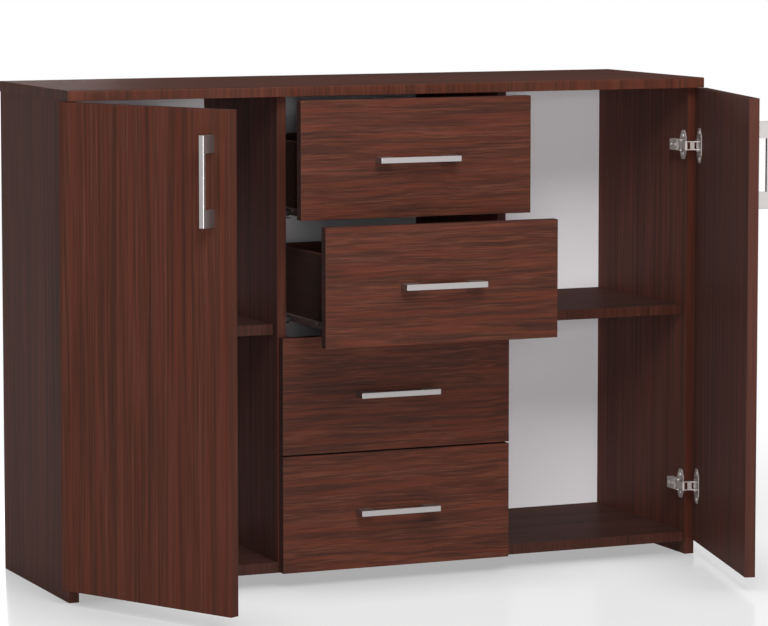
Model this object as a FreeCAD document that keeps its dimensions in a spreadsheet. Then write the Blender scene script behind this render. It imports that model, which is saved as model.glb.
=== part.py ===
import FreeCAD, Part
import Sketcher
import os
import re

# Drawer cabinet: a top, two sides, two dividers, a bottom and a thin back, with a shelf behind
# each of two doors and four drawers on roller runners between them. X runs across the front
# from left to right, Y from front to back, Z up. Closed, the fronts cover the whole face below
# the top; here each door stands open and the two upper drawers are pulled out.
doc = FreeCAD.newDocument("DrawerCabinet")
sheet = doc.addObject("Spreadsheet::Sheet", "Sizes")

# Driving dimensions, in millimetres and degrees. An amount that starts with an equals sign
# follows from sizes above it.
sizes = [
    # carcass
    ("body_width", 1196, "across the outer faces of the side panels"),
    ("board", 18, "thickness of every laminated board"),
    ("side_depth", 356, "front to back of a side panel"),
    ("side_height", 850, "floor to the underside of the top"),
    ("top_lap", 2, "top panel beyond each side panel"),
    ("top_nose", 22, "top panel in front of the side panels"),
    ("top_round", 3, "rounding of the top panel's upper front edge"),
    ("bottom_rise", 24, "floor to the underside of the bottom panel"),
    ("back_board", 3, "thickness of the back panel"),
    ("back_rabbet", 8, "width of the step that takes the back panel"),
    ("back_gap", 0.5, "play of the back panel in its step"),
    ("divider_board", 16, "thickness of the two dividers"),
    ("divider_place", 381, "side's outer face to the divider's near face"),
    ("bay_width", "=body_width - 2 * (divider_place + divider_board)",
     "between the two dividers"),
    # shelves
    ("shelf_rise", 437, "floor to the underside of a shelf"),
    ("shelf_setback", 20, "side panel's front edge to a shelf's front edge"),
    ("shelf_play", 0.5, "gap round a shelf at its ends"),
    ("pin_radius", 2.5, "shelf pin"),
    ("pin_length", 16, "shelf pin, end to end"),
    ("pin_depth", 8, "shelf pin inside its hole"),
    ("pin_inset", 40, "shelf's front or back edge to a pin"),
    ("push_fit", 0.05, "radial play of a pin or screw in its hole"),
    # fronts
    ("front_stand", 2, "carcass front plane to a closed front's back face"),
    ("front_rise", 25, "floor to the bottom edge of the doors and the lowest drawer"),
    ("door_top_gap", 1.2, "top edge of the doors to the top"),
    ("drawer_top_gap", 2.8, "top edge of the uppermost drawer front to the top"),
    ("door_gap", 1, "side panel's outer face to the door's hinge edge"),
    ("door_shy", 1.3, "door's free edge short of the divider's near face"),
    ("door_width", "=divider_place - door_gap - door_shy", "across one door"),
    ("door_height", "=side_height - front_rise - door_top_gap", "up one door"),
    ("left_door_angle", 62.5, "degrees that the left door stands open"),
    ("right_door_angle", 75.2, "degrees that the right door stands open"),
    ("front_gap", 3, "between a door and the drawer fronts"),
    ("drawer_width", "=body_width - 2 * (door_gap + door_width + front_gap)",
     "across a drawer front"),
    ("drawer_gap", 3, "between two drawer fronts"),
    ("drawer_height", "=(side_height - front_rise - drawer_top_gap - 3 * drawer_gap) / 4",
     "up one of the four fronts"),
    # drawer boxes
    ("box_board", 12, "thickness of a drawer box's sides and back"),
    ("box_short", 78, "drawer front's height beyond the box's"),
    ("box_height", "=drawer_height - box_short", "up a drawer box"),
    ("box_clear", 56, "carcass depth left behind a closed drawer box"),
    ("box_length", "=side_depth - box_clear", "drawer box behind its front"),
    ("box_rise", 24.5, "drawer front's bottom edge to the box's bottom edge"),
    ("top_box_rise", 2, "the same on the uppermost drawer"),
    ("base_board", 3, "thickness of a drawer bottom"),
    ("base_rise", 8, "box's bottom edge to the drawer bottom"),
    ("groove_depth", 6, "groove that takes the drawer bottom"),
    ("groove_play", 0.25, "play of the drawer bottom in its groove, each way"),
    # how far each drawer is pulled out, from the uppermost down
    ("pull_one", 84, "uppermost drawer"),
    ("pull_two", 192, "second drawer"),
    ("pull_three", 0, "third drawer"),
    ("pull_four", 0, "lowest drawer"),
    # roller runners
    ("runner_sheet", 1.2, "sheet thickness of both runner profiles"),
    ("runner_start", 2, "carcass front plane to the carcass runner's front end"),
    ("runner_length", "=box_length", "both runner profiles"),
    ("runner_low", 6.8, "carcass runner below the box's bottom edge"),
    ("runner_high", 10, "carcass runner above the box's bottom edge"),
    ("runner_lip", 9.4, "carcass runner's flanges from its web"),
    ("runner_notch", 20, "upper flange cut away over the front roller"),
    ("rail_high", 11.6, "drawer runner above the box's bottom edge"),
    ("rail_lip", 8.8, "drawer runner's upper flange from its web"),
    ("roller_radius", 7, "runner roller"),
    ("roller_width", 6.4, "runner roller, face to face"),
    ("roller_bore", 2.05, "radius of the hole in a roller"),
    ("roller_float", 0.05, "roller to the flange that it carries or rolls on"),
    ("roller_side", 1.1, "roller to the web that holds the other profile"),
    ("roller_dish", 0.8, "depth of the dished faces of a roller"),
    ("roller_hub", 3.4, "radius of a roller's hub"),
    ("roller_rim", 5.8, "radius where a roller's tread begins"),
    ("axle_radius", 2, "roller axle"),
    ("axle_inset", 12, "runner's end to its roller axle"),
    ("axle_over", 0.4, "axle beyond the roller"),
    ("runner_screw_front", 60, "carcass runner's front end to its front screw"),
    ("runner_screw_rear", 64, "carcass runner's rear end to its rear screw"),
    ("runner_room", "=2 * runner_sheet + runner_lip - axle_over + roller_side",
     "divider to a drawer box"),
    ("box_width", "=bay_width - 2 * runner_room", "across the outer faces of a drawer box"),
    # hinges
    ("hinge_inset", 103, "door's upper or lower edge to a hinge's middle"),
    ("axis_inset", 2.2, "side's outer face to the door's turning axis, inward"),
    ("hinge_line", 2, "carcass front plane to the door's turning axis, in front"),
    ("cup_place", 23.5, "door's turning axis to the cup's middle"),
    ("cup_radius", 17.45, "outside of the hinge cup"),
    ("cup_depth", 11.5, "hinge cup in the door"),
    ("cup_wall", 1.2, "wall, floor and flange of the cup"),
    ("cup_bore_radius", 17.5, "bore in the door"),
    ("cup_bore_depth", 12.5, "bore in the door"),
    ("flange_height", 63, "cup flange, up the door"),
    ("flange_neck", 34, "height where the flange's corners begin"),
    ("flange_reach", 19, "flange from the cup's middle toward the door's middle"),
    ("flange_edge", 15, "flange from the cup's middle toward the hinge edge"),
    ("flange_slant", 10, "how far the flange's corners are cut back"),
    ("cup_screw_spread", 24, "cup's middle to a cup screw, up the door"),
    ("cup_screw_shift", 6, "cup's middle to the screws, toward the door's middle"),
    ("cup_pivot_depth", 4, "door's back face to the pivot in the cup"),
    ("lug_inner", 8.6, "hinge's mid-plane to the lugs that hold the cup pivot"),
    ("lug_sheet", 1.4, "thickness of lugs and hinge arm cheeks"),
    ("lug_half", 3.2, "half width of a lug"),
    ("link_across", 26, "arm pivot from the door's turning axis, across"),
    ("link_back", 10, "arm pivot from the door's turning axis, backward"),
    ("pivot_radius", 2, "pins in the cup and in the arm"),
    ("pivot_fit", 0.05, "radial play on those pins"),
    ("knee_radius", 1.5, "pin that joins the two links"),
    ("knee_play", 0.2, "radial play on the knee pin"),
    ("bend_across", 11, "cup pivot to the outer link's bend, across"),
    ("bend_back", 8, "cup pivot to the outer link's bend, backward"),
    ("outer_link_half", 3, "half width of the outer link"),
    ("outer_link_gap", 6.4, "mid-plane to the outer link's cheeks"),
    ("outer_link_sheet", 1.6, "thickness of the outer link's cheeks"),
    ("outer_link_web", 1.2, "thickness of the outer link's web"),
    ("web_from_knee", 7, "knee to the end of the outer link's web"),
    ("inner_link_half", 2.8, "half width of the inner link"),
    ("inner_link_side", 6, "mid-plane to the inner link's faces"),
    ("knee_pin_half", 8.4, "half length of the knee pin"),
    ("plate_sheet", 2, "mounting plate's wings"),
    ("plate_front", 5, "carcass front plane to the wings"),
    ("plate_back", 27, "carcass front plane to the wings' rear edge"),
    ("plate_half", 26, "half height of the wings"),
    ("plate_neck", 13, "half height where the wings' shoulders begin"),
    ("plate_shoulder", 6, "how far the wings are narrowed at their tips"),
    ("spine_front", 17, "carcass front plane to the plate's spine"),
    ("spine_half", 8, "half height of the spine"),
    ("spine_top", 13, "side panel's inner face to the spine's crest"),
    ("plate_screw_spread", 16, "hinge's middle to a plate screw"),
    ("plate_screw_place", 16, "carcass front plane to the plate screws"),
    ("arm_end", 43, "carcass front plane to the arm's rear end"),
    ("arm_low", 3, "side panel's inner face to the arm's cheeks"),
    ("arm_web_front", 16, "carcass front plane to the arm's web"),
    ("arm_nose", 5, "radius of the arm's front end"),
    # handles
    ("handle_length", 150, "handle, end to end"),
    ("handle_width", 10, "across the bar"),
    ("handle_reach", 27, "front's face to the bar's outer face"),
    ("handle_bar", 5, "thickness of the bar"),
    ("handle_leg", 29, "length of a leg along the bar"),
    ("handle_round", 1, "rounding of the bar's outer ends"),
    ("handle_bevel", 0.6, "bevel along the bar's outer edges"),
    ("door_handle_drop", 116, "door's top edge to the middle of its handle"),
    ("door_handle_inset", 36.5, "door's free edge to its handle"),
    ("drawer_handle_drop", 2, "drawer front's middle to its handle, downward"),
    ("drawer_handle_shift", 3.5, "drawer front's middle to its handle's, to the left"),
    # screws
    ("screw_shank", 1.75, "radius of a screw's shank"),
    ("screw_head", 3.6, "radius of a screw's head"),
    ("screw_crown", 1.4, "thickness of a screw's head"),
    ("screw_length", 13, "screw below its head"),
    ("screw_clear", 0.1, "tip of a screw to the end of its pilot hole"),
    ("cup_rim", 1, "cup's rim beyond the bowl"),
    ("axle_head", 3, "radius of an axle's shoulder and head"),
    ("axle_play", 0.1, "roller to the shoulder or head, along the axle"),
    ("closeness", 0.01, "limit for telling one edge from another"),
]
for row, (alias, amount, meaning) in enumerate(sizes, 1):
    sheet.set(f"A{row}", meaning)
    sheet.set(f"B{row}", str(amount))
    sheet.setAlias(f"B{row}", alias)
doc.recompute()

names = "|".join(sorted((alias for alias, amount, meaning in sizes), key=len, reverse=True))
alias_pattern = re.compile(rf"\b({names})\b")


def bound(text):
    """Turn a sum of size names into an expression on the sheet."""
    return alias_pattern.sub(r"Sizes.\1", text)


def bind(thing, path, text):
    """Bind one property of an object to the sheet."""
    thing.setExpression(path, bound(text))


parts = {}
cuts = []


def new_body(label):
    """Start a sub-part, at first in the cabinet's own coordinates."""
    body = doc.addObject("PartDesign::Body", label)
    body.Label = label
    body.AllowCompound = True
    parts[label] = body
    return body


def new_sketch(body, role, height):
    """Sketch on one of the body's own planes, lifted along its normal."""
    plane = next(item for item in body.Origin.OriginFeatures if item.Role == role)
    drawing = body.newObject("Sketcher::SketchObject", body.Name + "_sketch")
    drawing.AttachmentSupport = (plane, [""])
    drawing.MapMode = "FlatFace"
    bind(drawing, "AttachmentOffset.Base.z", height)
    return drawing


def pin_point(drawing, index, spot, across, along):
    """Hold one point of a sketch by its two distances from the sketch's origin."""
    for kind, text in (("DistanceX", across), ("DistanceY", along)):
        number = drawing.addConstraint(Sketcher.Constraint(kind, -1, 1, index, spot, 1.0))
        bind(drawing, f"Constraints[{number}]", text)


def polygon(drawing, corners):
    """Closed outline whose every corner is held by size names."""
    first = drawing.GeometryCount
    count = len(corners)
    ring = [FreeCAD.Vector(1, 0, 0) for corner in corners]
    for index, spot in enumerate(ring):
        turn = FreeCAD.Rotation(FreeCAD.Vector(0, 0, 1), 360 * index / count)
        ring[index] = turn.multVec(spot)
    for index in range(count):
        drawing.addGeometry(Part.LineSegment(ring[index], ring[(index + 1) % count]), False)
    for index in range(count):
        follower = first + (index + 1) % count
        drawing.addConstraint(Sketcher.Constraint("Coincident", first + index, 2, follower, 1))
    for index, (across, along) in enumerate(corners):
        pin_point(drawing, first + index, 1, across, along)


def rectangle(drawing, left, right, low, high):
    """Upright rectangle between four size sums."""
    polygon(drawing, [(left, low), (right, low), (right, high), (left, high)])


def circle(drawing, across, along, radius):
    """Circle held by its centre and radius."""
    index = drawing.addGeometry(Part.Circle(FreeCAD.Vector(), FreeCAD.Vector(0, 0, 1), 1), False)
    pin_point(drawing, index, 3, across, along)
    number = drawing.addConstraint(Sketcher.Constraint("Radius", index, 1.0))
    bind(drawing, f"Constraints[{number}]", radius)


def circles(drawing, spots, radius):
    """Circles of one radius at several places."""
    for across, along in spots:
        circle(drawing, across, along, radius)


def pad(drawing, length, backward=False):
    """Raise a sketch along its plane's normal, or against it."""
    body = drawing.getParentGeoFeatureGroup()
    feature = body.newObject("PartDesign::Pad", body.Name + "_pad")
    feature.Profile = drawing
    feature.Reversed = backward
    bind(feature, "Length", length)
    drawing.Visibility = False
    return feature


def pocket(drawing, length, forward=False):
    """Cut a sketch against its plane's normal, or along it."""
    body = drawing.getParentGeoFeatureGroup()
    feature = body.newObject("PartDesign::Pocket", body.Name + "_pocket")
    feature.Profile = drawing
    feature.Reversed = forward
    bind(feature, "Length", length)
    cuts.append(feature)
    return feature


def board(label, left, right, front, rear, low, high):
    """Flat board between six size sums."""
    body = new_body(label)
    drawing = new_sketch(body, "XY_Plane", low)
    rectangle(drawing, left, right, front, rear)
    pad(drawing, f"{high} - ({low})")
    return body


# The two halves of the cabinet mirror each other. The first sign turns a distance from the
# middle plane into X, the second a distance from a side panel's outer face, inward.
halves = [("left", "-1", "1"), ("right", "1", "-1")]
shelf_pins = new_body("shelf_pins")
pin_rows = [
    "shelf_setback + pin_inset",
    "side_depth - back_board - shelf_play * 2 - pin_inset",
]
pin_level = "shelf_rise - pin_radius"
hinge_levels = ["front_rise + hinge_inset", "front_rise + door_height - hinge_inset"]
middle = "body_width / 2"
axis_place = f"({middle} - axis_inset)"

# The four drawers, from the uppermost down: box height above the front's bottom edge, pull.
drawers = [
    ("drawer_1", 3, "top_box_rise", "pull_one"),
    ("drawer_2", 2, "box_rise", "pull_two"),
    ("drawer_3", 1, "box_rise", "pull_three"),
    ("drawer_4", 0, "box_rise", "pull_four"),
]
screw_rows = [
    "runner_start + runner_screw_front",
    "runner_start + runner_length - runner_screw_rear",
]
pin_spots = [(row, pin_level) for row in pin_rows]
plate_spots = [("plate_screw_place", f"{level} {way} plate_screw_spread")
               for level in hinge_levels for way in "+-"]


def front_base(place):
    """Bottom edge of a drawer front, counted from the lowest."""
    return f"front_rise + {place} * (drawer_height + drawer_gap)"


box_bases = [f"({front_base(place)} + {rise})" for label, place, rise, pull in drawers]
runner_spots = [(row, f"{base} + (runner_high - runner_low) / 2")
                for base in box_bases for row in screw_rows]


# Top, bottom and back. The top laps over the sides and the fronts and has a rounded nose.
body = board("top_panel", f"-{middle} - top_lap", f"{middle} + top_lap", "-top_nose",
             "side_depth", "side_height", "side_height + board")
slab = body.Tip
doc.recompute([slab])
outer = slab.Shape.BoundBox
noses = []
for number, edge in enumerate(slab.Shape.Edges, 1):
    depth = edge.BoundBox.YMax - outer.YMin
    drop = outer.ZMax - edge.BoundBox.ZMin
    if max(depth, drop) < sheet.get("closeness"):
        noses.append(f"Edge{number}")
nose = body.newObject("PartDesign::Fillet", "top_panel_nose")
nose.Base = (slab, noses)
bind(nose, "Radius", "top_round")
board("bottom_panel", f"-{middle} + board", f"{middle} - board", "0", "side_depth - back_board",
      "bottom_rise", "bottom_rise + board")
board("back_panel", f"-{middle} + board - back_rabbet + back_gap",
      f"{middle} - board + back_rabbet - back_gap", "side_depth - back_board", "side_depth",
      "bottom_rise", "side_height")

for half, sign, inward in halves:
    # Side panel, stepped at the back for the back panel, with holes for pins and hinge screws.
    inner = f"{sign} * ({middle} - board)"
    body = board(f"{half}_side_panel", f"{sign} * {middle}", inner, "0", "side_depth", "0",
                 "side_height")
    drawing = new_sketch(body, "XY_Plane", "bottom_rise")
    rectangle(drawing, inner, f"{sign} * ({middle} - board + back_rabbet)",
              "side_depth - back_board", "side_depth")
    pocket(drawing, "side_height - bottom_rise", forward=True)
    drawing = new_sketch(body, "YZ_Plane", inner)
    circles(drawing, pin_spots, "pin_radius + push_fit")
    pocket(drawing, "pin_depth + push_fit", forward=half == "right")
    drawing = new_sketch(body, "YZ_Plane", inner)
    circles(drawing, plate_spots, "screw_shank + push_fit")
    pocket(drawing, "screw_length - plate_sheet + screw_clear", forward=half == "right")

    # Divider on the bottom panel, with holes for the other two pins and the runner screws.
    near = f"{sign} * ({middle} - divider_place)"
    far = f"{sign} * ({middle} - divider_place - divider_board)"
    body = board(f"{half}_divider", near, far, "0", "side_depth - back_board",
                 "bottom_rise + board", "side_height")
    drawing = new_sketch(body, "YZ_Plane", near)
    circles(drawing, pin_spots, "pin_radius + push_fit")
    pocket(drawing, "pin_depth + push_fit", forward=half == "left")
    drawing = new_sketch(body, "YZ_Plane", far)
    circles(drawing, runner_spots, "screw_shank + push_fit")
    pocket(drawing, "screw_length - runner_sheet + screw_clear", forward=half == "right")

    # Loose shelf on four pins.
    board(f"{half}_shelf", f"{sign} * ({middle} - board - shelf_play)",
          f"{sign} * ({middle} - divider_place + shelf_play)", "shelf_setback",
          "side_depth - back_board - shelf_play * 2", "shelf_rise", "shelf_rise + board")
    for face, outward in ((inner, sign), (near, inward)):
        drawing = new_sketch(shelf_pins, "YZ_Plane", f"{face} + {outward} * pin_depth")
        circles(drawing, pin_spots, "pin_radius")
        pad(drawing, "pin_length", backward=outward == "1")


def stand_on_door(body, half, sign):
    """Give a sub-part the place and the angle of an open door; its origin is the door's axis."""
    bind(body, "Placement.Base.x", f"{sign} * {axis_place}")
    bind(body, "Placement.Base.y", "-hinge_line")
    bind(body, "Placement.Rotation.Angle", f"{sign} * {half}_door_angle")


def stand_on_drawer(body, pull):
    """Move a sub-part out with its drawer."""
    bind(body, "Placement.Base.y", f"-{pull}")


def layer(body, role, low, high, draw, *places):
    """Pad one outline between two heights above one of the body's planes."""
    drawing = new_sketch(body, role, low)
    draw(drawing, *places)
    pad(drawing, f"{high} - ({low})")


def pair(body, level, near, far, draw, *places):
    """Pad one outline above and below a hinge's mid-plane."""
    layer(body, "XY_Plane", f"{level} + {near}", f"{level} + {far}", draw, *places)
    layer(body, "XY_Plane", f"{level} - ({far})", f"{level} - ({near})", draw, *places)


def bore(body, level, half, across, along, radius):
    """Cut one upright hole through a hinge piece."""
    drawing = new_sketch(body, "XY_Plane", f"{level} + {half}")
    circle(drawing, across, along, radius)
    pocket(drawing, f"2 * ({half})")


def strip(drawing, first, last, half, length):
    """Straight bar between two points, its corners set off square to its middle line."""
    (from_x, from_y), (to_x, to_y) = first, last
    off_x = f"({to_y} - ({from_y})) * {half} / {length}"
    off_y = f"({to_x} - ({from_x})) * {half} / {length}"
    polygon(drawing, [
        (f"{from_x} + {off_x}", f"{from_y} - {off_y}"),
        (f"{to_x} + {off_x}", f"{to_y} - {off_y}"),
        (f"{to_x} - ({off_x})", f"{to_y} + {off_y}"),
        (f"{from_x} - ({off_x})", f"{from_y} + {off_y}"),
    ])


def eight_corners(drawing, left, right, slant, low, high, neck):
    """Plate with its four corners cut back."""
    polygon(drawing, [
        (left, f"{low} + {neck}"), (f"{left} + {slant}", low), (f"{right} - ({slant})", low),
        (right, f"{low} + {neck}"), (right, f"{high} - {neck}"),
        (f"{right} - ({slant})", high), (f"{left} + {slant}", high),
        (left, f"{high} - {neck}"),
    ])


def handle(label, base_x, base_y, base_z, upright):
    """U-shaped handle: a flat bar on two broad legs, padded to the bar's width and eased."""
    body = new_body(label)
    along, side, role = (base_z, base_x, "YZ_Plane") if upright else (base_x, base_z, "XY_Plane")
    outer = f"{base_y} - handle_reach"
    under = f"{outer} + handle_bar"
    reach, gap = "handle_length / 2", "(handle_length / 2 - handle_leg)"
    corners = [
        (f"{along} - {reach}", base_y), (f"{along} - {reach}", outer),
        (f"{along} + {reach}", outer), (f"{along} + {reach}", base_y),
        (f"{along} + {gap}", base_y), (f"{along} + {gap}", under),
        (f"{along} - {gap}", under), (f"{along} - {gap}", base_y),
    ]
    if upright:
        corners = [corner[::-1] for corner in corners]
    drawing = new_sketch(body, role, f"{side} - handle_width / 2")
    polygon(drawing, corners)
    feature = pad(drawing, "handle_width")
    for kind, path, amount in (("Fillet", "Radius", "handle_round"),
                               ("Chamfer", "Size", "handle_bevel")):
        doc.recompute([feature])
        edges = []
        face = feature.Shape.BoundBox.YMin
        for number, edge in enumerate(feature.Shape.Edges, 1):
            box = edge.BoundBox
            run = box.ZLength if upright else box.XLength
            flat = box.YMax - face < sheet.get("closeness")
            if flat and (run > sheet.get("closeness")) == (kind == "Chamfer"):
                edges.append(f"Edge{number}")
        easing = body.newObject(f"PartDesign::{kind}", f"{label}_{kind.lower()}")
        easing.Base = (feature, edges)
        bind(easing, path, amount)
        feature = easing
    return body


# The hinge's two links and the door make a parallelogram with the carcass, so the knee where
# the links meet keeps its place in both at every angle of the door.
cup_drop = "(front_stand - hinge_line + cup_pivot_depth)"
inner_span = f"sqrt(cup_place ^ 2 + {cup_drop} ^ 2)"
outer_span = "sqrt((link_across - bend_across) ^ 2 + (link_back - bend_back) ^ 2)"
door_back = "(hinge_line - front_stand)"
door_plane = "(front_stand - hinge_line)"
cheek = "lug_inner + lug_sheet"
pivot_level = "link_back - hinge_line"
bend_span = "sqrt(bend_across ^ 2 + bend_back ^ 2)"
bay = "bay_width / 2"
carcass_screws = new_body("carcass_screws")
carcass_runners = new_body("carcass_runners")

for half, sign, inward in halves:
    # Door board with its cup bores and pilot holes, and its upright handle.
    hinge_edge = "(door_gap - axis_inset)"
    body = board(f"{half}_door", f"{inward} * {hinge_edge}",
                 f"{inward} * ({hinge_edge} + door_width)", f"{door_back} - board", door_back,
                 "front_rise", "front_rise + door_height")
    stand_on_door(body, half, sign)
    cup_x = f"{inward} * cup_place"
    screw_x = f"{inward} * (cup_place + cup_screw_shift)"
    cup_spots = [(cup_x, level) for level in hinge_levels]
    cup_screw_spots = [(screw_x, f"{level} {way} cup_screw_spread")
                       for level in hinge_levels for way in "+-"]
    drawing = new_sketch(body, "XZ_Plane", door_plane)
    circles(drawing, cup_spots, "cup_bore_radius")
    pocket(drawing, "cup_bore_depth", forward=True)
    drawing = new_sketch(body, "XZ_Plane", door_plane)
    circles(drawing, cup_screw_spots, "screw_shank + push_fit")
    pocket(drawing, "screw_length - cup_wall + screw_clear", forward=True)
    body = handle(f"{half}_door_handle",
                  f"{inward} * ({hinge_edge} + door_width - door_handle_inset)",
                  f"{door_back} - board", "front_rise + door_height - door_handle_drop", True)
    stand_on_door(body, half, sign)

    # Hinge cups: a flange with cut corners, a bowl let into the door, and a pin on two lugs.
    cups = new_body(f"{half}_hinge_cups")
    stand_on_door(cups, half, sign)
    drawing = new_sketch(cups, "XZ_Plane", door_plane)
    for level in hinge_levels:
        eight_corners(drawing, f"{cup_x} - {inward} * flange_edge",
                      f"{cup_x} + {inward} * flange_reach", f"{inward} * flange_slant",
                      f"{level} - flange_height / 2", f"{level} + flange_height / 2",
                      "(flange_height - flange_neck) / 2")
    pad(drawing, "cup_wall", backward=True)
    for radius, length, back in (("cup_radius + cup_rim", "cup_wall", True),
                                 ("cup_radius", "cup_depth", False)):
        drawing = new_sketch(cups, "XZ_Plane", door_plane)
        circles(drawing, cup_spots, radius)
        pad(drawing, length, backward=back)
    for spots, radius, length in ((cup_spots, "cup_radius - cup_wall", "cup_depth"),
                                  (cup_screw_spots, "screw_shank + push_fit", "cup_wall")):
        drawing = new_sketch(cups, "XZ_Plane", f"{door_plane} - cup_wall")
        circles(drawing, spots, radius)
        pocket(drawing, length, forward=True)
    drawing = new_sketch(cups, "XZ_Plane", f"{door_plane} + cup_depth")
    for level in hinge_levels:
        for low, high in ((f"{level} - ({cheek})", f"{level} - lug_inner"),
                          (f"{level} + lug_inner", f"{level} + {cheek}")):
            rectangle(drawing, f"{cup_x} - lug_half", f"{cup_x} + lug_half", low, high)
    pad(drawing, "cup_depth - cup_pivot_depth + lug_half", backward=True)
    for level in hinge_levels:
        layer(cups, "XY_Plane", f"{level} - ({cheek})", f"{level} + {cheek}", circle, cup_x,
              f"-{cup_drop}", "pivot_radius")
    body = new_body(f"{half}_cup_screws")
    stand_on_door(body, half, sign)
    for radius, length, back in (("screw_head", "screw_crown", True),
                                 ("screw_shank", "screw_length", False)):
        drawing = new_sketch(body, "XZ_Plane", f"{door_plane} - cup_wall")
        circles(drawing, cup_screw_spots, radius)
        pad(drawing, length, backward=back)

    # Inner links turn on the arms' pins and end in the knee pin.
    links = new_body(f"{half}_hinge_inner_links")
    knee = (cup_x, f"-{cup_drop}")
    side = "inner_link_side"
    for level in hinge_levels:
        low, high = f"{level} - {side}", f"{level} + {side}"
        layer(links, "XY_Plane", low, high, strip, ("0", "0"), knee, "inner_link_half",
              inner_span)
        layer(links, "XY_Plane", low, high, circle, "0", "0", "inner_link_half")
        layer(links, "XY_Plane", low, high, circle, *knee, "inner_link_half")
        bore(links, level, side, "0", "0", "pivot_radius + pivot_fit")
        layer(links, "XY_Plane", f"{level} - knee_pin_half", f"{level} + knee_pin_half", circle,
              *knee, "knee_radius")
    bind(links, "Placement.Base.x", f"{sign} * ({axis_place} - link_across)")
    bind(links, "Placement.Base.y", pivot_level)
    bind(links, "Placement.Rotation.Angle", f"{sign} * {half}_door_angle")

    # Outer links: two bent cheeks, which pass over the cup's rim when the door is closed, and
    # a web that joins them on the door's side.
    links = new_body(f"{half}_hinge_outer_links")
    bend = (f"{inward} * bend_across", "bend_back")
    knee = (f"{inward} * link_across", "link_back")
    edge = "outer_link_gap + outer_link_sheet"
    shift = f"(outer_link_half - outer_link_web / 2) / {outer_span}"
    stop = f"(1 - web_from_knee / {outer_span})"
    run_x, run_y = "(link_across - bend_across)", "(link_back - bend_back)"
    ends = []
    for share in ("0", stop):
        ends.append((f"{inward} * (bend_across + {run_x} * {share} + {run_y} * {shift})",
                     f"(bend_back + {run_y} * {share} - {run_x} * {shift})"))
    for level in hinge_levels:
        reach = ("outer_link_gap", f"({edge})")
        pair(links, level, *reach, strip, ("0", "0"), bend, "outer_link_half", bend_span)
        pair(links, level, *reach, strip, bend, knee, "outer_link_half", outer_span)
        for spot in (("0", "0"), bend, knee):
            pair(links, level, *reach, circle, *spot, "outer_link_half")
        layer(links, "XY_Plane", f"{level} - ({edge})", f"{level} + {edge}", strip, *ends,
              "outer_link_web / 2", f"({outer_span} - web_from_knee)")
        bore(links, level, edge, "0", "0", "pivot_radius + pivot_fit")
        bore(links, level, edge, *knee, "knee_radius + knee_play")
    swing = f"{half}_door_angle"
    bind(links, "Placement.Base.x",
         f"{sign} * ({axis_place} - cup_place * cos({swing}) + {cup_drop} * sin({swing}))")
    bind(links, "Placement.Base.y",
         f"-hinge_line - cup_place * sin({swing}) - {cup_drop} * cos({swing})")

    # Mounting plates: wings with two screws each and a spine under the arm.
    inner = f"{sign} * ({middle} - board)"
    plates = new_body(f"{half}_hinge_plates")
    away = half == "right"
    drawing = new_sketch(plates, "YZ_Plane", inner)
    for level in hinge_levels:
        eight_corners(drawing, "plate_front", "plate_back", "plate_shoulder",
                      f"{level} - plate_half", f"{level} + plate_half",
                      "(plate_half - plate_neck)")
    pad(drawing, "plate_sheet", backward=away)
    drawing = new_sketch(plates, "YZ_Plane", inner)
    for level in hinge_levels:
        rectangle(drawing, "spine_front", "arm_end", f"{level} - spine_half",
                  f"{level} + spine_half")
    pad(drawing, "spine_top", backward=away)
    plate_face = f"{inner} + {inward} * plate_sheet"
    drawing = new_sketch(plates, "YZ_Plane", plate_face)
    circles(drawing, plate_spots, "screw_shank + push_fit")
    pocket(drawing, "plate_sheet", forward=away)

    # Arms: two cheeks with a rounded front end on the pivot pin, and a web over the spine.
    arms = new_body(f"{half}_hinge_arms")
    pivot_x = f"{sign} * ({axis_place} - link_across)"
    crest = f"{inner} + {inward} * spine_top"
    for level in hinge_levels:
        reach = ("lug_inner", f"({cheek})")
        pair(arms, level, *reach, rectangle, f"{inner} + {inward} * arm_low", crest,
             pivot_level, "arm_end")
        pair(arms, level, *reach, circle, pivot_x, pivot_level, "arm_nose")
        layer(arms, "XY_Plane", f"{level} - ({cheek})", f"{level} + {cheek}", rectangle, crest,
              f"{crest} + {inward} * lug_sheet", "arm_web_front", "arm_end")
        layer(arms, "XY_Plane", f"{level} - ({cheek})", f"{level} + {cheek}", circle, pivot_x,
              pivot_level, "pivot_radius")

    # Screws of the mounting plates and of the carcass runners.
    web_x = f"{sign} * ({bay} - runner_sheet)"
    for plane, spots in ((plate_face, plate_spots), (web_x, runner_spots)):
        for radius, length, back in (("screw_head", "screw_crown", away),
                                     ("screw_shank", "screw_length", not away)):
            drawing = new_sketch(carcass_screws, "YZ_Plane", plane)
            circles(drawing, spots, radius)
            pad(drawing, length, backward=back)

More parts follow.
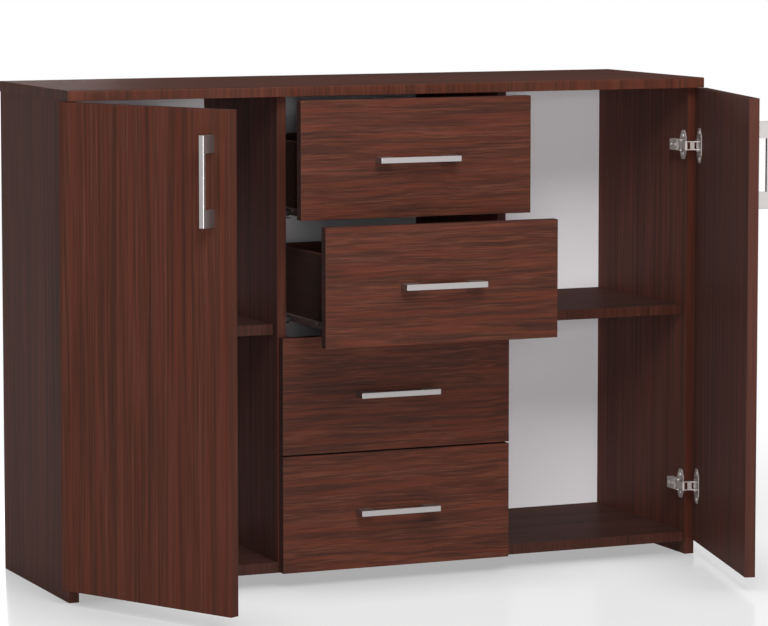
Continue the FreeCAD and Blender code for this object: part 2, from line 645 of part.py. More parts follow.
    # Carcass runners: channels open to the drawer, cut away at the front over their rollers,
    # which turn on axles between a shoulder and a head.
    wall_x = f"{sign} * {bay}"
    lip_x = f"{sign} * ({bay} - runner_sheet - runner_lip)"
    drawing = new_sketch(carcass_runners, "XZ_Plane", "-runner_start")
    for base in box_bases:
        low, high = f"{base} - runner_low", f"{base} + runner_high"
        polygon(drawing, [
            (wall_x, low), (wall_x, high), (lip_x, high), (lip_x, f"{high} - runner_sheet"),
            (web_x, f"{high} - runner_sheet"), (web_x, f"{low} + runner_sheet"),
            (lip_x, f"{low} + runner_sheet"), (lip_x, low),
        ])
    pad(drawing, "runner_length", backward=True)
    drawing = new_sketch(carcass_runners, "YZ_Plane", lip_x)
    for base in box_bases:
        high = f"{base} + runner_high"
        rectangle(drawing, "runner_start", "runner_start + runner_notch",
                  f"{high} - runner_sheet", high)
    pocket(drawing, "runner_lip", forward=away)
    drawing = new_sketch(carcass_runners, "YZ_Plane", web_x)
    circles(drawing, runner_spots, "screw_shank + push_fit")
    pocket(drawing, "runner_sheet", forward=away)
    axle_spots = [("runner_start + axle_inset",
                   f"{base} + rail_high - runner_sheet - roller_float - roller_radius")
                  for base in box_bases]
    gap = "(runner_lip - axle_over - roller_width)"
    for begin, length, radius in (
            (web_x, "runner_lip", "axle_radius"),
            (web_x, f"{gap} - axle_play", "axle_head"),
            (f"{lip_x} + {sign} * (axle_over - axle_play)", "axle_over - axle_play",
             "axle_head")):
        drawing = new_sketch(carcass_runners, "YZ_Plane", begin)
        circles(drawing, axle_spots, radius)
        pad(drawing, length, backward=away)


def rollers(label, along, level):
    """Two coaxial rollers with dished faces, turned about their own axle's line."""
    body = new_body(label)
    drawing = new_sketch(body, "XY_Plane", "0")
    start = "box_width / 2 + runner_sheet + roller_side"
    for way in ("1", "-1"):
        near = f"{way} * ({start})"
        far = f"{way} * ({start} + roller_width)"
        dish = f"{way} * roller_dish"
        polygon(drawing, [
            (near, "roller_bore"), (near, "roller_hub"), (f"{near} + {dish}", "roller_hub"),
            (f"{near} + {dish}", "roller_rim"), (near, "roller_rim"), (near, "roller_radius"),
            (far, "roller_radius"), (far, "roller_rim"), (f"{far} - ({dish})", "roller_rim"),
            (f"{far} - ({dish})", "roller_hub"), (far, "roller_hub"), (far, "roller_bore"),
        ])
    turning = body.newObject("PartDesign::Revolution", label + "_turning")
    turning.Profile = drawing
    turning.ReferenceAxis = (drawing, ["H_Axis"])
    bind(body, "Placement.Base.y", along)
    bind(body, "Placement.Base.z", level)


for (label, place, rise, pull), base in zip(drawers, box_bases):
    low = front_base(place)
    half_box, half_room = "box_width / 2", "(box_width / 2 - box_board)"
    rear = "(box_length - front_stand)"
    slot_low = f"{base} + base_rise - groove_play"
    slot_high = f"{base} + base_rise + base_board + groove_play"

    # Front with a groove for the drawer bottom, and its handle.
    body = board(f"{label}_front", "-drawer_width / 2", "drawer_width / 2",
                 "-front_stand - board", "-front_stand", low, f"{low} + drawer_height")
    drawing = new_sketch(body, "XZ_Plane", "front_stand")
    rectangle(drawing, f"-{half_room} - groove_depth", f"{half_room} + groove_depth", slot_low,
              slot_high)
    pocket(drawing, "groove_depth", forward=True)
    stand_on_drawer(body, pull)
    body = handle(f"{label}_handle", "-drawer_handle_shift", "-front_stand - board",
                  f"{low} + drawer_height / 2 - drawer_handle_drop", False)
    stand_on_drawer(body, pull)

    # Box: two grooved sides, a grooved back between them and a thin bottom in the grooves.
    body = new_body(f"{label}_box_sides")
    drawing = new_sketch(body, "XY_Plane", base)
    for way in ("1", "-1"):
        rectangle(drawing, f"{way} * {half_room}", f"{way} * {half_box}", "-front_stand", rear)
    pad(drawing, "box_height")
    drawing = new_sketch(body, "XZ_Plane", "front_stand")
    rectangle(drawing, f"-{half_room} - groove_depth", f"{half_room} + groove_depth", slot_low,
              slot_high)
    pocket(drawing, "box_length - box_board + groove_depth")
    stand_on_drawer(body, pull)
    body = board(f"{label}_box_back", f"-{half_room}", half_room, f"{rear} - box_board", rear,
                 base, f"{base} + box_height")
    drawing = new_sketch(body, "XZ_Plane", f"box_board - {rear}")
    rectangle(drawing, f"-{half_room}", half_room, slot_low, slot_high)
    pocket(drawing, "groove_depth")
    stand_on_drawer(body, pull)
    body = board(f"{label}_box_bottom", f"-{half_room} - groove_depth + groove_play",
                 f"{half_room} + groove_depth - groove_play",
                 "-front_stand - groove_depth + groove_play",
                 f"{rear} - box_board + groove_depth - groove_play",
                 f"{base} + base_rise", f"{base} + base_rise + base_board")
    stand_on_drawer(body, pull)

    # Drawer runners: one flange under the box side, one outward over the front roller.
    body = new_body(f"{label}_runners")
    high = f"{base} + rail_high"
    drawing = new_sketch(body, "XZ_Plane", "front_stand")
    for way in ("1", "-1"):
        side_x, room_x = f"{way} * {half_box}", f"{way} * {half_room}"
        skin_x = f"{way} * ({half_box} + runner_sheet)"
        lip_x = f"{way} * ({half_box} + runner_sheet + rail_lip)"
        polygon(drawing, [
            (lip_x, high), (lip_x, f"{high} - runner_sheet"), (skin_x, f"{high} - runner_sheet"),
            (skin_x, f"{base} - runner_sheet"), (room_x, f"{base} - runner_sheet"),
            (room_x, base), (side_x, base), (side_x, high),
        ])
    pad(drawing, "runner_length", backward=True)
    spot = (f"{rear} - axle_inset",
            f"{base} - runner_low + runner_sheet + roller_float + roller_radius")
    for way in ("1", "-1"):
        skin_x = f"{way} * ({half_box} + runner_sheet)"
        for begin, reach, radius in (
                (skin_x, "roller_side + roller_width + axle_over", "axle_radius"),
                (skin_x, "roller_side - axle_play", "axle_head"),
                (f"{skin_x} + {way} * (roller_side + roller_width + axle_play)",
                 "axle_over - axle_play", "axle_head")):
            drawing = new_sketch(body, "YZ_Plane", begin)
            circle(drawing, *spot, radius)
            pad(drawing, reach, backward=way == "-1")
    stand_on_drawer(body, pull)

    # Rollers: one pair on the carcass runners' front ends, one on the drawer runners' rear.
    rollers(f"{label}_front_rollers", "runner_start + axle_inset",
            f"{base} + rail_high - runner_sheet - roller_float - roller_radius")
    rollers(f"{label}_rear_rollers", f"{rear} - axle_inset - {pull}",
            f"{base} - runner_low + runner_sheet + roller_float + roller_radius")

doc.recompute()
failed = [item.Label for item in doc.Objects if {"Invalid", "Error"} & set(item.State)]
if failed:
    raise ValueError(f"not rebuilt: {failed}")
for cut in cuts:
    if not cut.Shape.Volume < cut.BaseFeature.Shape.Volume:
        raise ValueError(f"{cut.Label} cuts nothing")
solid_count = 0
for label, body in parts.items():
    shape = body.Shape
    if shape.isNull() or not shape.isValid() or not shape.Solids:
        raise ValueError(f"{label} has no sound shape")
    solid_count += len(shape.Solids)
os.makedirs("parts", exist_ok=True)
for label, body in parts.items():
    body.Shape.exportStep(f"parts/{label}.step")
print(f"{len(parts)} sub-parts, {solid_count} solids")
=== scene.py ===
import math

import bmesh
import bpy
from mathutils import Matrix, Vector


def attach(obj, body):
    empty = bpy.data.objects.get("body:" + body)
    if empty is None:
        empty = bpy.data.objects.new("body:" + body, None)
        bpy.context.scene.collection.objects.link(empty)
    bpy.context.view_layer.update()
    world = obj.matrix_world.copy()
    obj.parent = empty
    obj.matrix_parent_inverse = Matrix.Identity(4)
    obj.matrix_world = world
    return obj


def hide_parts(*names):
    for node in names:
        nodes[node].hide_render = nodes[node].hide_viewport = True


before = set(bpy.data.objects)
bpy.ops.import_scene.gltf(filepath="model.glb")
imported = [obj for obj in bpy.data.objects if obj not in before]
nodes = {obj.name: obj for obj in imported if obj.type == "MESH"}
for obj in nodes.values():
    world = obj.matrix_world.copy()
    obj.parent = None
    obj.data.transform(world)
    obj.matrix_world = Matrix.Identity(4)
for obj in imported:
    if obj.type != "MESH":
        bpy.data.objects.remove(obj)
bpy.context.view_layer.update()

# View and room. The camera stands to the left of the cabinet, a little above it, and tilts down
# with a small shift, so that uprights stay nearly parallel. The floor is pale and faintly
# glossy and keeps the lamps' soft shadow; near the cabinet its white glow is also dimmed by
# ambient occlusion, a painted shadow, and away from it the floor turns to plain white.
IMAGE_WIDTH = 768
FOCAL_PIXELS, SHIFT_PIXELS = 3596.7, -60
camera_data = bpy.data.cameras.new("camera")
camera = bpy.data.objects.new("camera", camera_data)
bpy.context.scene.collection.objects.link(camera)
bpy.context.scene.camera = camera
camera_data.sensor_width = 36.0
camera_data.lens = FOCAL_PIXELS * camera_data.sensor_width / IMAGE_WIDTH
camera_data.shift_y = SHIFT_PIXELS / IMAGE_WIDTH
camera_data.clip_end = 60.0
camera.location = (-2.5029, -5.7131, 1.1661)
camera.rotation_euler = (1.47589, 0, -0.41040)
bpy.context.scene.view_settings.view_transform = "Standard"


def shade(hex_colour):
    """An sRGB hex colour as linear red, green, blue and alpha."""
    parts = [int(hex_colour[place:place + 2], 16) / 255 for place in (1, 3, 5)]
    linear = [part / 12.92 if part <= 0.04045 else ((part + 0.055) / 1.055) ** 2.4
              for part in parts]
    return (*linear, 1.0)


def add(tree, kind, inputs=None, **settings):
    """Add a node with its settings; an input takes another node's socket or a value."""
    node = tree.nodes.new(kind)
    for key, value in settings.items():
        setattr(node, key, value)
    for key, value in (inputs or {}).items():
        if isinstance(value, bpy.types.NodeSocket):
            tree.links.new(value, node.inputs[key])
        else:
            node.inputs[key].default_value = value
    return node


def new_material(name):
    """An empty node material with its output; returns the material, the tree and the output."""
    material = bpy.data.materials.new(name)
    material.use_nodes = True
    tree = material.node_tree
    tree.nodes.clear()
    return material, tree, add(tree, "ShaderNodeOutputMaterial")


def new_mesh(name, corners, faces, material):
    """A mesh object at the origin, its place in its mesh."""
    mesh = bpy.data.meshes.new(name)
    mesh.from_pydata(corners, [], faces)
    mesh.materials.append(material)
    thing = bpy.data.objects.new(name, mesh)
    bpy.context.scene.collection.objects.link(thing)
    return thing


def seen_plainly(tree):
    """1 for rays from the camera, off a glossy surface or through a clear one, else 0."""
    ray = add(tree, "ShaderNodeLightPath")
    seen = add(tree, "ShaderNodeMath", {0: ray.outputs["Is Camera Ray"],
                                        1: ray.outputs["Is Glossy Ray"]}, operation="MAXIMUM")
    return add(tree, "ShaderNodeMath", {0: seen.outputs[0],
                                        1: ray.outputs["Is Transmission Ray"]},
               operation="MAXIMUM").outputs[0]


floor_paint, tree, output = new_material("pale_polished_floor")
place = add(tree, "ShaderNodeTexCoord")
middle = add(tree, "ShaderNodeVectorMath", {0: place.outputs["Object"], 1: (0.1, -0.1, 0.0)},
             operation="DISTANCE")
fade = add(tree, "ShaderNodeMapRange", {"Value": middle.outputs["Value"], "From Min": 0.8,
                                        "From Max": 2.2, "To Min": 0.66, "To Max": 1.0},
           interpolation_type="SMOOTHSTEP")
ground = add(tree, "ShaderNodeBsdfPrincipled", {"Base Color": shade("#e6e4e6"),
                                                "Roughness": 0.16, "IOR": 1.4})
# Painted shadow: ambient occlusion dims the floor's white glow near the cabinet.
open_sky = add(tree, "ShaderNodeAmbientOcclusion", {"Distance": 0.2}, samples=8)
glow = add(tree, "ShaderNodeMapRange", {"Value": open_sky.outputs["AO"], "From Min": 0.3,
                                        "From Max": 1.0, "To Min": 0.58, "To Max": 1.0})
white = add(tree, "ShaderNodeEmission", {"Color": shade("#ffffff"),
                                         "Strength": glow.outputs["Result"]})
amount = add(tree, "ShaderNodeMath", {0: fade.outputs["Result"], 1: seen_plainly(tree)},
             operation="MULTIPLY")
mixed = add(tree, "ShaderNodeMixShader", {0: amount.outputs[0], 1: ground.outputs[0],
                                          2: white.outputs[0]})
tree.links.new(mixed.outputs[0], output.inputs["Surface"])
FLOOR_REACH = 25.0
floor = new_mesh("floor", [(-FLOOR_REACH, -FLOOR_REACH, 0), (FLOOR_REACH, -FLOOR_REACH, 0),
                           (FLOOR_REACH, FLOOR_REACH, 0), (-FLOOR_REACH, FLOOR_REACH, 0)],
                 [(0, 1, 2, 3)], floor_paint)

world = bpy.data.worlds.new("studio")
bpy.context.scene.world = world
world.use_nodes = True
tree = world.node_tree
tree.nodes.clear()
soft = add(tree, "ShaderNodeBackground", {"Color": shade("#f2f4f8"), "Strength": 0.12})
white = add(tree, "ShaderNodeBackground", {"Color": shade("#ffffff"), "Strength": 1.0})
mixed = add(tree, "ShaderNodeMixShader", {0: seen_plainly(tree), 1: soft.outputs[0],
                                          2: white.outputs[0]})
add(tree, "ShaderNodeOutputWorld", {"Surface": mixed.outputs[0]})

# Soft boxes: name, place, aim, edge in metres, watts.
soft_boxes = [
    ("key_light", (-0.4, -2.5, 2.8), (0.0, -0.1, 0.45), 1.6, 98.0),
    ("fill_light", (-1.7, -5.4, 0.8), (0.0, -0.1, 0.45), 1.4, 118.0),
    ("back_light", (0.1, 3.8, 1.2), (0.0, 0.3, 0.45), 1.4, 50.0),
]
for name, spot, aim, edge, power in soft_boxes:
    lamp = bpy.data.lights.new(name, "AREA")
    lamp.shape = "SQUARE"
    lamp.size = edge
    lamp.energy = power
    light = bpy.data.objects.new(name, lamp)
    bpy.context.scene.collection.objects.link(light)
    light.location = spot
    light.rotation_euler = (Vector(aim) - Vector(spot)).to_track_quat("-Z", "Y").to_euler()

# Carcass boards. Chipboard with a satin melamine face printed as dark red-brown wood: fine
# fibres, darker strands and slow bands, which run up the upright boards and across the others.
# The glued edge bands are darker, their own deeper tone plus painted shade; the top, bottom and
# shelves have them cross-grained.
BOARD_EDGE = 0.0006
SAME_CORNER = 0.00001
SHARP_ANGLE = math.radians(40)


def ease_edges(thing, width, segments=2):
    """Round a CAD node's edges a little; its triangles are joined first, in the modifier."""
    weld = thing.modifiers.new("join_corners", "WELD")
    weld.merge_threshold = SAME_CORNER
    bevel = thing.modifiers.new("eased_edges", "BEVEL")
    bevel.width = width
    bevel.segments = segments
    bevel.limit_method = "ANGLE"
    bevel.angle_limit = SHARP_ANGLE
    thing.modifiers.new("even_shading", "WEIGHTED_NORMAL").keep_sharp = True


def dress(thing, material):
    """Give a piece one material."""
    thing.data.materials.clear()
    thing.data.materials.append(material)


# Each layer's streaks in millimetres across and along the grain, how many metres they sway
# for a full swing of the slow noise, and how softly the tones pass into each other.
STRAIGHT = {"fibre": (3.0, 220), "strand": (9, 700), "band": (48, 1500),
            "sway": (90, 900), "sway_reach": 0.008, "spread": 0.19}
WAVY = {"fibre": (2.1, 70), "strand": (6.5, 170), "band": (36, 480),
        "sway": (70, 130), "sway_reach": 0.01, "spread": 0.15}
# A face that looks less than this along the board's thin axis is taken as an edge.
EDGE_FACING = 0.6
BAND_FINENESS = 1.6


def laminate(name, grain, thin, seed, turn=0.0, centre=(0.0, 0.0, 0.0), cross_band=False,
             pattern=STRAIGHT, dark="#301710", middle="#482518", light="#643629",
             red="#642c1e"):
    """Printed wood-grain melamine on a board, given its grain's axis, its thin axis, how far
    the board is turned about which place, and the print's pattern and tones."""
    material, tree, output = new_material(name)
    place = add(tree, "ShaderNodeTexCoord")
    local = add(tree, "ShaderNodeMapping", {"Vector": place.outputs["Object"],
                                            "Location": centre, "Rotation": (0, 0, turn)},
                vector_type="TEXTURE").outputs[0]
    facing = add(tree, "ShaderNodeMapping", {"Vector": place.outputs["Normal"],
                                             "Rotation": (0, 0, turn)},
                 vector_type="TEXTURE").outputs[0]
    split = add(tree, "ShaderNodeSeparateXYZ", {0: local})
    normal = add(tree, "ShaderNodeSeparateXYZ", {0: facing})
    axes = {"X": (1, 2, 0), "Y": (0, 2, 1), "Z": (0, 1, 2)}[grain]
    first, second, along = (split.outputs[axis] for axis in axes)
    flat = add(tree, "ShaderNodeMath", {0: normal.outputs["XYZ".index(thin)]},
               operation="ABSOLUTE")
    edge = add(tree, "ShaderNodeMath", {0: flat.outputs[0], 1: EDGE_FACING},
               operation="LESS_THAN").outputs[0]
    if cross_band:
        # The band on the long edge is printed with its streaks upright and finer.
        fine = add(tree, "ShaderNodeVectorMath", {0: local, "Scale": BAND_FINENESS},
                   operation="SCALE")
        fine_split = add(tree, "ShaderNodeSeparateXYZ", {0: fine.outputs[0]})
        first, second, along = (
            add(tree, "ShaderNodeMix", {0: edge, 2: flat_axis,
                                        3: fine_split.outputs[axis]}).outputs[0]
            for flat_axis, axis in ((first, 0), (second, 1), (along, 2)))
    lined = add(tree, "ShaderNodeCombineXYZ", {0: first, 1: second, 2: along}).outputs[0]

    def print_layer(size, detail, offset, source, roughness=0.5):
        """Noise whose cells are so many millimetres across and along the grain."""
        across, length = size
        scaled = add(tree, "ShaderNodeMapping", {
            "Vector": source, "Location": (seed * 3.17 + offset, seed * 1.31, seed * 7.7 + offset),
            "Scale": (1000 / across, 1000 / across, 1000 / length)})
        return add(tree, "ShaderNodeTexNoise", {"Vector": scaled.outputs[0], "Scale": 1.0,
                                                "Detail": detail, "Roughness": roughness})

    sway = print_layer(pattern["sway"], 1, 3.0, lined)
    shift = add(tree, "ShaderNodeMath", {0: sway.outputs[0], 1: 0.5}, operation="SUBTRACT")
    shift = add(tree, "ShaderNodeMath", {0: shift.outputs[0], 1: pattern["sway_reach"]},
                operation="MULTIPLY").outputs[0]
    shift = add(tree, "ShaderNodeCombineXYZ", {0: shift, 1: shift})
    bent = add(tree, "ShaderNodeVectorMath", {0: lined, 1: shift.outputs[0]}).outputs[0]
    fibres = print_layer(pattern["fibre"], 3, 0.0, bent, 0.65)
    strands = print_layer(pattern["strand"], 2, 5.0, bent)
    bands = print_layer(pattern["band"], 1, 9.0, bent)
    tint = print_layer(pattern["strand"], 1, 13.0, bent)
    level = add(tree, "ShaderNodeMath", {0: fibres.outputs[0], 1: 0.65,
                                         2: -0.15}, operation="MULTIPLY_ADD")
    level = add(tree, "ShaderNodeMath", {0: strands.outputs[0], 1: 0.4,
                                         2: level.outputs[0]}, operation="MULTIPLY_ADD")
    level = add(tree, "ShaderNodeMath", {0: bands.outputs[0], 1: 0.25,
                                         2: level.outputs[0]}, operation="MULTIPLY_ADD")
    ramp = add(tree, "ShaderNodeValToRGB", {0: level.outputs[0]})
    stops = ramp.color_ramp.elements
    stops[0].position, stops[0].color = 0.5 - pattern["spread"], shade(dark)
    stops[1].position, stops[1].color = 0.5 + pattern["spread"], shade(light)
    stops.new(0.50).color = shade(middle)
    warm = add(tree, "ShaderNodeMapRange", {"Value": tint.outputs[0], "From Min": 0.45,
                                            "From Max": 0.68, "To Max": 0.5})
    face = add(tree, "ShaderNodeMix", {0: warm.outputs[0], 6: ramp.outputs[0],
                                       7: shade(red)}, data_type="RGBA")
    # Edge faces are mixed toward a dark brown: partly the band's own tone, partly painted shade of
    # edges between parts.
    band = add(tree, "ShaderNodeMath", {0: edge, 1: 0.1 if cross_band else 0.55},
               operation="MULTIPLY")
    colour = add(tree, "ShaderNodeMix", {0: band.outputs[0], 6: face.outputs[2],
                                         7: shade("#351b14")}, data_type="RGBA")
    sheen = add(tree, "ShaderNodeMapRange", {"Value": fibres.outputs[0], "To Min": 0.38,
                                             "To Max": 0.5})
    relief = add(tree, "ShaderNodeBump", {"Height": fibres.outputs[0], "Strength": 0.1,
                                          "Distance": 0.0003})
    slant = add(tree, "ShaderNodeLayerWeight", {"Blend": 0.5})
    gloss = add(tree, "ShaderNodeMapRange", {"Value": slant.outputs["Facing"], "From Min": 0.05,
                                             "From Max": 0.95, "To Min": 0.4,
                                             "To Max": 0.012}).outputs[0]
    gloss = add(tree, "ShaderNodeMath", {0: gloss, 1: gloss}, operation="MULTIPLY")
    skin = add(tree, "ShaderNodeBsdfPrincipled", {
        "Base Color": colour.outputs[2], "Roughness": sheen.outputs[0],
        "Sheen Weight": 0.022, "Sheen Roughness": 0.6,
        "Specular IOR Level": gloss.outputs[0], "Normal": relief.outputs[0]})
    tree.links.new(skin.outputs[0], output.inputs["Surface"])
    return material


# Board, grain, thickness, whether its front band is cross-grained, and its print's tones:
# the bottom and the shelves get darker tones, painted shade for the dim inside of the carcass.
USUAL = {}
# Painted shade: the same print made darker for the boards that lie inside the carcass.
PAINTED_SHADE_TONES = {"dark": "#25120c", "middle": "#371d14", "light": "#4c2b22", "red": "#4a231b"}
carcass_boards = [
    ("top_panel", "X", "Z", True, USUAL), ("bottom_panel", "X", "Z", True, PAINTED_SHADE_TONES),
    ("left_side_panel", "Z", "X", False, USUAL), ("right_side_panel", "Z", "X", False, USUAL),
    ("left_divider", "Z", "X", False, USUAL), ("right_divider", "Z", "X", False, USUAL),
    ("left_shelf", "X", "Z", True, PAINTED_SHADE_TONES), ("right_shelf", "X", "Z", True, PAINTED_SHADE_TONES),
]
for count, (name, grain, thin, cross_band, tones) in enumerate(carcass_boards):
    dress(nodes[name], laminate(f"melamine_{name}", grain, thin, count + 1,
                                cross_band=cross_band, **tones))
    ease_edges(nodes[name], BOARD_EDGE)

# Doors and drawer fronts. The same board; the drawer fronts' print runs across and is wavier.
door_angles = {"left": -math.radians(62.5), "right": math.radians(75.2)}
door_axes = {"left": Vector((-0.5958, -0.002, 0.0)), "right": Vector((0.5958, -0.002, 0.0))}
for count, (half, angle) in enumerate(door_angles.items()):
    dress(nodes[f"{half}_door"], laminate(f"melamine_{half}_door", "Z", "Y", 20 + count,
                                          turn=angle, centre=door_axes[half]))
    ease_edges(nodes[f"{half}_door"], BOARD_EDGE)
for number in range(1, 5):
    name = f"drawer_{number}_front"
    dress(nodes[name], laminate(f"melamine_{name}", "X", "Y", 30 + number, pattern=WAVY,
                                dark="#2e1711", middle="#422217", light="#5c3325",
                                red="#5e2a1b"))
    ease_edges(nodes[name], BOARD_EDGE)

# Back panel and drawer bottoms: thin hardboard, painted white on the side that shows.
hardboard, tree, output = new_material("white_painted_hardboard")
place = add(tree, "ShaderNodeTexCoord")
speckle = add(tree, "ShaderNodeTexNoise", {"Vector": place.outputs["Object"], "Scale": 700.0,
                                           "Detail": 2.0})
tone = add(tree, "ShaderNodeMapRange", {"Value": speckle.outputs[0], "To Min": 0.5,
                                        "To Max": 0.62})
relief = add(tree, "ShaderNodeBump", {"Height": speckle.outputs[0], "Strength": 0.08,
                                      "Distance": 0.0002})
skin = add(tree, "ShaderNodeBsdfPrincipled", {"Base Color": shade("#f0edf0"),
                                              "Roughness": tone.outputs[0],
                                              "Normal": relief.outputs[0]})
tree.links.new(skin.outputs[0], output.inputs["Surface"])
dress(nodes["back_panel"], hardboard)
for number in range(1, 5):
    dress(nodes[f"drawer_{number}_box_bottom"], hardboard)

# Drawer boxes: chipboard with a plain dark brown face, grooved for the bottom.
for number in range(1, 5):
    for part, grain, thin in (("box_sides", "Y", "X"), ("box_back", "X", "Y")):
        name = f"drawer_{number}_{part}"
        dress(nodes[name], laminate(f"melamine_{name}", grain, thin, 40 + number,
                                    dark="#26120d", middle="#331912", light="#402218",
                                    red="#3d1b13"))
        ease_edges(nodes[name], BOARD_EDGE)


# Handles, hinges and runners: satin nickel-plated zinc handles, nickel-plated steel hinges,
# runners of sheet steel with a dark brown epoxy coat, black nylon rollers.
def metal(name, colour, roughness, metallic=1.0):
    """Metal or coated sheet with a fine uneven lustre."""
    material, tree, output = new_material(name)
    place = add(tree, "ShaderNodeTexCoord")
    grain = add(tree, "ShaderNodeTexNoise", {"Vector": place.outputs["Object"], "Scale": 900.0,
                                             "Detail": 2.0})
    lustre = add(tree, "ShaderNodeMapRange", {"Value": grain.outputs[0],
                                              "To Min": roughness - 0.05,
                                              "To Max": roughness + 0.05})
    relief = add(tree, "ShaderNodeBump", {"Height": grain.outputs[0], "Strength": 0.05,
                                          "Distance": 0.0001})
    skin = add(tree, "ShaderNodeBsdfPrincipled", {
        "Base Color": shade(colour), "Metallic": metallic, "Roughness": lustre.outputs[0],
        "Normal": relief.outputs[0]})
    tree.links.new(skin.outputs[0], output.inputs["Surface"])
    return material


satin_nickel = metal("satin_nickel_plated_zinc", "#aaa6a5", 0.4)
hinge_steel = metal("nickel_plated_steel", "#b9afab", 0.5, metallic=0.55)
runner_coat = metal("dark_brown_epoxy_coat", "#5c4b48", 0.4, metallic=0.0)
roller_nylon = metal("black_nylon", "#1f1d1d", 0.5, metallic=0.0)
HINGE_EDGE, HANDLE_EDGE = 0.00025, 0.0005
for name, thing in nodes.items():
    if name.endswith("handle"):
        dress(thing, satin_nickel)
        ease_edges(thing, HANDLE_EDGE)
    elif "hinge" in name:
        dress(thing, hinge_steel)
        ease_edges(thing, HINGE_EDGE, 1)
    elif name.endswith("rollers"):
        dress(thing, roller_nylon)
    elif name.endswith("runners"):
        dress(thing, runner_coat)
        ease_edges(thing, HINGE_EDGE, 1)
    elif name == "shelf_pins":
        dress(thing, hinge_steel)
        ease_edges(thing, HINGE_EDGE, 1)

# Screws. Zinc-plated pan-head chipboard screws with a cross recess hold the mounting plates,
# the hinge cups and the carcass runners. Each hinge arm has two adjusting screws on its back,
# and flat-headed screws hold the drawer runners to the drawer boxes.
LATHE_STEPS = 28
bright_zinc = metal("bright_zinc_plated_steel", "#d2cecb", 0.3, metallic=0.6)
# A screw's shape: radius of the head, its height, radius of the shank, and depth of the end.
full_screw = (0.0036, 0.0014, 0.00175, 0.0144)
adjusting_screw = (0.003, 0.001, 0.0016, 0.004)
runner_screw = (0.0032, 0.0005, 0.0016, 0.009)


def lathe(name, outline, material):
    """Turn a list of radii and heights about Z; the first and last lie on the axis."""
    rings = outline[1:-1]
    corners = [(0, 0, outline[0][1]), (0, 0, outline[-1][1])]
    for radius, height in rings:
        for step in range(LATHE_STEPS):
            turn = 2 * math.pi * step / LATHE_STEPS
            corners.append((radius * math.cos(turn), radius * math.sin(turn), height))
    faces = []
    last = 2 + (len(rings) - 1) * LATHE_STEPS
    for step in range(LATHE_STEPS):
        after = (step + 1) % LATHE_STEPS
        faces.append((0, 2 + step, 2 + after))
        faces.append((1, last + after, last + step))
        for ring in range(len(rings) - 1):
            upper, lower = 2 + ring * LATHE_STEPS, 2 + (ring + 1) * LATHE_STEPS
            faces.append((upper + step, lower + step, lower + after, upper + after))
    return new_mesh(name, corners, faces, material)


# The tree cuts the recess into one blank, turns a copy to each seat's outward side with the
# recess at a chance angle, and gives all of them their finish.
screw_tree = bpy.data.node_groups.new("cross_recessed_screws", "GeometryNodeTree")
screw_tree.interface.new_socket("Seats", in_out="INPUT", socket_type="NodeSocketGeometry")
for label, kind in (("Blank", "Object"), ("Slot Width", "Float"), ("Slot Length", "Float"),
                    ("Slot Depth", "Float"), ("Seed", "Int"), ("Finish", "Material")):
    screw_tree.interface.new_socket(label, in_out="INPUT", socket_type=f"NodeSocket{kind}")
screw_tree.interface.new_socket("Screws", in_out="OUTPUT", socket_type="NodeSocketGeometry")
entry = add(screw_tree, "NodeGroupInput").outputs
blank = add(screw_tree, "GeometryNodeObjectInfo", {"Object": entry["Blank"]})
deep = add(screw_tree, "ShaderNodeMath", {0: entry["Slot Depth"], 1: 2.0}, operation="MULTIPLY")
slots = []
for length, width in (("Slot Length", "Slot Width"), ("Slot Width", "Slot Length")):
    size = add(screw_tree, "ShaderNodeCombineXYZ", {0: entry[length], 1: entry[width],
                                                    2: deep.outputs[0]})
    slots.append(add(screw_tree, "GeometryNodeMeshCube", {"Size": size.outputs[0]}))
recessed = add(screw_tree, "GeometryNodeMeshBoolean", {"Mesh 1": blank.outputs["Geometry"]},
               operation="DIFFERENCE")
for slot in slots:
    screw_tree.links.new(slot.outputs["Mesh"], recessed.inputs["Mesh 2"])
outward = add(screw_tree, "GeometryNodeInputNamedAttribute", {"Name": "outward"},
              data_type="FLOAT_VECTOR")
aimed = add(screw_tree, "FunctionNodeAlignRotationToVector", {
    "Vector": outward.outputs["Attribute"]}, axis="Z")
chance = add(screw_tree, "FunctionNodeRandomValue", {"Max": math.pi / 2, "Seed": entry["Seed"]},
             data_type="FLOAT")
spin = add(screw_tree, "FunctionNodeAxisAngleToRotation", {"Axis": (0, 0, 1)})
for socket in chance.outputs:
    if socket.enabled:
        screw_tree.links.new(socket, spin.inputs["Angle"])
turned = add(screw_tree, "FunctionNodeRotateRotation", {
    "Rotation": aimed.outputs[0], "Rotate By": spin.outputs[0]}, rotation_space="LOCAL")
placed = add(screw_tree, "GeometryNodeInstanceOnPoints", {
    "Points": entry["Seats"], "Instance": recessed.outputs[0], "Rotation": turned.outputs[0]})
solid = add(screw_tree, "GeometryNodeRealizeInstances", {0: placed.outputs[0]})
finish = add(screw_tree, "GeometryNodeSetMaterial", {"Geometry": solid.outputs[0],
                                                     "Material": entry["Finish"]})
add(screw_tree, "NodeGroupOutput", {"Screws": finish.outputs[0]})


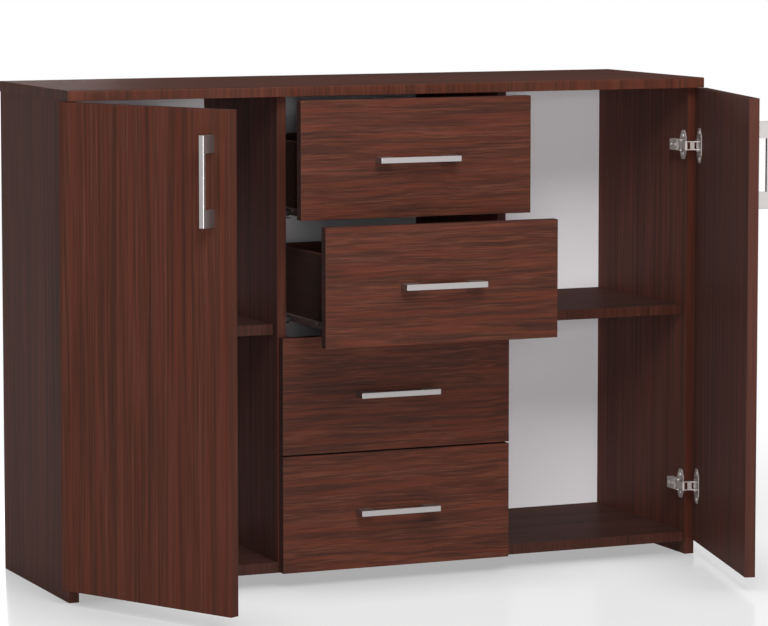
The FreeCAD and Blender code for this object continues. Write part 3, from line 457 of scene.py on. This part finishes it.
def drive_screws(name, seats, body, shape, seed, replaced=None):
    """Put screws of one shape at places that each have an outward side."""
    head, crown, shank, reach = shape
    pattern = lathe("screw_blank", [
        (0, 0), (head * 0.42, -crown * 0.02), (head * 0.75, -crown * 0.18),
        (head * 0.94, -crown * 0.5), (head, -crown * 0.8), (head, -crown), (shank, -crown),
        (shank, -reach + shank * 1.4), (shank * 0.3, -reach), (0, -reach)], bright_zinc)
    cloud = new_mesh(name + "_seats", [place for place, side in seats], [], bright_zinc)
    sides = cloud.data.attributes.new("outward", "FLOAT_VECTOR", "POINT")
    for item, (place, side) in zip(sides.data, seats):
        item.vector = side
    modifier = cloud.modifiers.new("screws", "NODES")
    modifier.node_group = screw_tree
    values = {"Blank": pattern, "Slot Width": head * 0.24, "Slot Length": head * 1.1,
              "Slot Depth": crown * 0.62, "Seed": seed, "Finish": bright_zinc}
    for item in screw_tree.interface.items_tree:
        if item.name in values:
            modifier[item.identifier] = values[item.name]
    bpy.context.view_layer.update()
    built = cloud.evaluated_get(bpy.context.evaluated_depsgraph_get())
    mesh = bpy.data.meshes.new_from_object(built)
    piece = bpy.data.objects.new(name, mesh)
    bpy.context.scene.collection.objects.link(piece)
    bpy.data.objects.remove(cloud)
    bpy.data.objects.remove(pattern)
    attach(piece, body)
    if replaced:
        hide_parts(replaced)


def head_seats(node, outward):
    """The middle of each screw head's outer face on a CAD node, with the side it looks to."""
    shape = bmesh.new()
    shape.from_mesh(nodes[node].data)
    shape.transform(nodes[node].matrix_world)
    bmesh.ops.remove_doubles(shape, verts=shape.verts, dist=SAME_CORNER / 10)
    left, seats = set(shape.verts), []
    for start in shape.verts:
        if start not in left:
            continue
        left.discard(start)
        group, queue = [], [start]
        while queue:
            corner = queue.pop()
            group.append(corner)
            for line in corner.link_edges:
                other = line.other_vert(corner)
                if other in left:
                    left.discard(other)
                    queue.append(other)
        side = outward(sum((corner.co for corner in group), Vector()) / len(group))
        top = max(corner.co.dot(side) for corner in group)
        rim = [corner.co.copy() for corner in group
               if top - corner.co.dot(side) < SAME_CORNER]
        seats.append((sum(rim, Vector()) / len(rim), side))
    shape.free()
    return seats


drive_screws("carcass_pan_head_screws", head_seats(
    "carcass_screws", lambda middle: Vector((-math.copysign(1, middle.x), 0, 0))),
    "carcass", full_screw, 3, "carcass_screws")
for half, angle in door_angles.items():
    inner = Matrix.Rotation(angle, 3, "Z") @ Vector((0, 1, 0))
    drive_screws(f"{half}_cup_pan_head_screws", head_seats(
        f"{half}_cup_screws", lambda middle: inner), f"{half}_door", full_screw, 7,
        f"{half}_cup_screws")
HINGE_LEVELS = (0.128, 0.7458)
ARM_BACK, ARM_SCREW_DEPTHS = 0.5646, (0.0225, 0.0365)
arm_seats = [(Vector((sign * ARM_BACK, depth, level)), Vector((-sign, 0, 0)))
             for level in HINGE_LEVELS for sign in (-1, 1) for depth in ARM_SCREW_DEPTHS]
drive_screws("hinge_adjusting_screws", arm_seats, "carcass", adjusting_screw, 11)
BOX_BASES, PULLS = (0.6459, 0.4621, 0.2558, 0.0495), (0.084, 0.192, 0.0, 0.0)
RUNNER_FACE, RUNNER_SCREW_RISE, RUNNER_SCREW_DEPTHS = 0.1902, 0.0078, (0.082, 0.226)
for number, (base, pull) in enumerate(zip(BOX_BASES, PULLS), 1):
    seats = [(Vector((sign * RUNNER_FACE, depth - pull, base + RUNNER_SCREW_RISE)),
              Vector((sign, 0, 0)))
             for sign in (-1, 1) for depth in RUNNER_SCREW_DEPTHS]
    drive_screws(f"drawer_{number}_runner_screws", seats, f"drawer_{number}", runner_screw,
                 20 + number)
